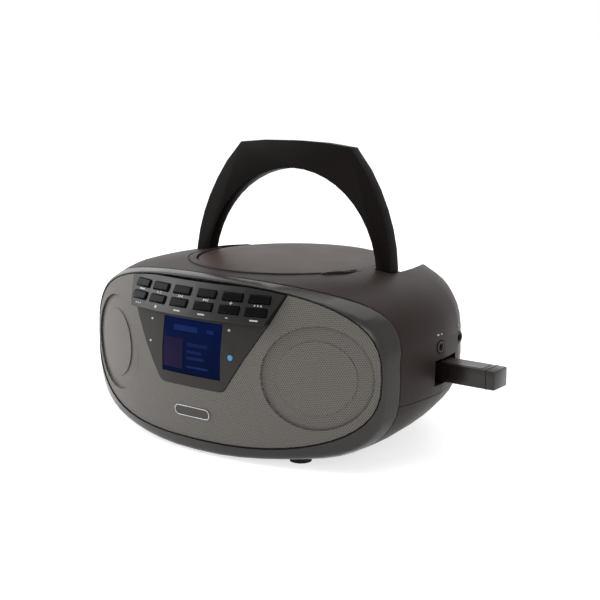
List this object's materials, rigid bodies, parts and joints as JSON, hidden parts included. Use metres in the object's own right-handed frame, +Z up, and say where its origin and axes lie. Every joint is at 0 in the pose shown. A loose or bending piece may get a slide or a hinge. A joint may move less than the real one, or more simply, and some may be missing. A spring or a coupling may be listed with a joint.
{
  "type": "portable disc radio",
  "caption": "Portable radio and disc player: bowed front with two speakers and a key panel, round top lid, side-pivoted carrying handle and telescopic aerial.",
  "frame": {"origin": "on the flat underside of the lower cabinet at its middle; z=0 is the surface that the feet stand on, 2 mm lower", "axes": "+X to the right as seen from the front, +Y to the rear, +Z up"},
  "size_m": [0.3315, 0.2306, 0.2197],
  "materials": {
    "cabinet_plastic": "fine moulded texture",
    "black_plastic": "satin moulded",
    "gloss_black": "gloss moulded",
    "grille_silver": "satin silver grey",
    "lid_grey": "satin",
    "screen": "polished window",
    "glow": "clear light guide",
    "steel": "plated",
    "chrome_tube": "polished",
    "board": "solder mask",
    "copper": "varnished",
    "paper": "pressed paper",
    "rubber": "matt"
  },
  "bodies": {
    "cabinet": {"aerial_mount": "black_plastic", "aux_jack": "black_plastic", "battery_contact_left": "steel", "battery_contact_right": "steel", "cd_deck": "black_plastic", "control_panel": "gloss_black", "display_module": "screen", "display_window": "screen", "foot_front_left": "rubber", "foot_front_right": "rubber", "foot_rear_left": "rubber", "foot_rear_right": "rubber", "front_bezel": "black_plastic", "front_board": "board", "front_grille": "grille_silver", "headphone_jack": "black_plastic", "key_board": "board", "lower_cabinet": "cabinet_plastic", "main_board": "board", "mains_inlet": "black_plastic", "mechanism_chassis": "steel", "power_transformer": "copper", "sled_rail_left": "steel", "sled_rail_right": "steel", "speaker_basket_left": "steel", "speaker_basket_right": "steel", "speaker_cone_left": "paper", "speaker_cone_right": "paper", "speaker_magnet_left": "steel", "speaker_magnet_right": "steel", "spindle_motor": "steel", "status_led": "glow", "upper_cabinet": "cabinet_plastic", "usb_socket": "steel"},
    "handle": {"handle": "black_plastic"},
    "lid": {"cd_lid": "lid_grey"},
    "hub": {"turntable_hub": "steel"},
    "sled": {"laser_pickup": "black_plastic"},
    "screw": {"sled_screw": "steel"},
    "door": {"battery_door": "cabinet_plastic"},
    "stick": {"usb_stick": "black_plastic"},
    "aerial_knuckle": {"aerial_knuckle": "chrome_tube"},
    "aerial_outer": {"aerial_outer_tube": "chrome_tube"},
    "aerial_middle": {"aerial_middle_tube": "chrome_tube"},
    "aerial_tip": {"aerial_tip": "chrome_tube"},
    "key_01": {"key_01": "gloss_black"},
    "key_02": {"key_02": "gloss_black"},
    "key_03": {"key_03": "gloss_black"},
    "key_04": {"key_04": "gloss_black"},
    "key_05": {"key_05": "gloss_black"},
    "key_06": {"key_06": "gloss_black"},
    "key_07": {"key_07": "gloss_black"},
    "key_08": {"key_08": "gloss_black"},
    "key_09": {"key_09": "gloss_black"},
    "key_10": {"key_10": "gloss_black"},
    "key_11": {"key_11": "gloss_black"},
    "key_12": {"key_12": "gloss_black"}
  },
  "joints": [
    {"name": "handle_pivot", "type": "hinge", "parent": "cabinet", "child": "handle", "pos_m": [0, 0.0072, 0.116], "axis": [-1, 0, 0], "range_deg": [0, 85.6]},
    {"name": "lid_hinge", "type": "hinge", "parent": "cabinet", "child": "lid", "pos_m": [0, 0.08, 0.1245], "axis": [-1, 0, 0], "range_deg": [0, 12]},
    {"name": "hub_spin", "type": "hinge", "parent": "cabinet", "child": "hub", "pos_m": [0, 0.008, 0.1095], "axis": [0, 0, 1], "continuous": true},
    {"name": "sled_slide", "type": "slide", "parent": "cabinet", "child": "sled", "axis": [0, -1, 0], "range_m": [0, 0.034]},
    {"name": "screw_spin", "type": "hinge", "parent": "cabinet", "child": "screw", "pos_m": [0.027, 0, 0.102], "axis": [0, 1, 0], "range_deg": [0, 1030]},
    {"name": "key_01_press", "type": "slide", "parent": "cabinet", "child": "key_01", "axis": [0.1992, 0.853, -0.4823], "range_m": [0, 0.001], "stiffness_N_per_m": 400, "springref_m": -0.0005},
    {"name": "key_02_press", "type": "slide", "parent": "cabinet", "child": "key_02", "axis": [0.1131, 0.8687, -0.4823], "range_m": [0, 0.001], "stiffness_N_per_m": 400, "springref_m": -0.0005},
    {"name": "key_03_press", "type": "slide", "parent": "cabinet", "child": "key_03", "axis": [0.0316, 0.8754, -0.4823], "range_m": [0, 0.001], "stiffness_N_per_m": 400, "springref_m": -0.0005},
    {"name": "key_04_press", "type": "slide", "parent": "cabinet", "child": "key_04", "axis": [-0.0316, 0.8754, -0.4823], "range_m": [0, 0.001], "stiffness_N_per_m": 400, "springref_m": -0.0005},
    {"name": "key_05_press", "type": "slide", "parent": "cabinet", "child": "key_05", "axis": [-0.1131, 0.8687, -0.4823], "range_m": [0, 0.001], "stiffness_N_per_m": 400, "springref_m": -0.0005},
    {"name": "key_06_press", "type": "slide", "parent": "cabinet", "child": "key_06", "axis": [-0.1992, 0.853, -0.4823], "range_m": [0, 0.001], "stiffness_N_per_m": 400, "springref_m": -0.0005},
    {"name": "key_07_press", "type": "slide", "parent": "cabinet", "child": "key_07", "axis": [0.2033, 0.8706, -0.448], "range_m": [0, 0.001], "stiffness_N_per_m": 400, "springref_m": -0.0005},
    {"name": "key_08_press", "type": "slide", "parent": "cabinet", "child": "key_08", "axis": [0.1155, 0.8865, -0.448], "range_m": [0, 0.001], "stiffness_N_per_m": 400, "springref_m": -0.0005},
    {"name": "key_09_press", "type": "slide", "parent": "cabinet", "child": "key_09", "axis": [0.0323, 0.8934, -0.448], "range_m": [0, 0.001], "stiffness_N_per_m": 400, "springref_m": -0.0005},
    {"name": "key_10_press", "type": "slide", "parent": "cabinet", "child": "key_10", "axis": [-0.0323, 0.8934, -0.448], "range_m": [0, 0.001], "stiffness_N_per_m": 400, "springref_m": -0.0005},
    {"name": "key_11_press", "type": "slide", "parent": "cabinet", "child": "key_11", "axis": [-0.1155, 0.8865, -0.448], "range_m": [0, 0.001], "stiffness_N_per_m": 400, "springref_m": -0.0005},
    {"name": "key_12_press", "type": "slide", "parent": "cabinet", "child": "key_12", "axis": [-0.2033, 0.8706, -0.448], "range_m": [0, 0.001], "stiffness_N_per_m": 400, "springref_m": -0.0005},
    {"name": "battery_door_hinge", "type": "hinge", "parent": "cabinet", "child": "door", "pos_m": [0, 0.0099, 0.002], "axis": [-1, 0, 0], "range_deg": [0, 90]},
    {"name": "stick_pull", "type": "slide", "parent": "cabinet", "child": "stick", "axis": [1, 0, 0], "range_m": [0, 0.03]},
    {"name": "aerial_swing", "type": "hinge", "parent": "cabinet", "child": "aerial_knuckle", "pos_m": [0.062, 0.1115, 0.101], "axis": [0, 1, 0], "range_deg": [0, 180]},
    {"name": "aerial_fold_out", "type": "hinge", "parent": "aerial_knuckle", "child": "aerial_outer", "pos_m": [0.062, 0.1115, 0.101], "axis": [0, 0, -1], "range_deg": [0, 90]},
    {"name": "aerial_middle_slide", "type": "slide", "parent": "aerial_outer", "child": "aerial_middle", "axis": [-1, 0, 0], "range_m": [0, 0.105]},
    {"name": "aerial_tip_slide", "type": "slide", "parent": "aerial_middle", "child": "aerial_tip", "axis": [-1, 0, 0], "range_m": [0, 0.105]}
  ],
  "couplings": [
    {"joint": "screw_spin", "follows": "sled_slide", "rad_per_m": 523.6}
  ]
}
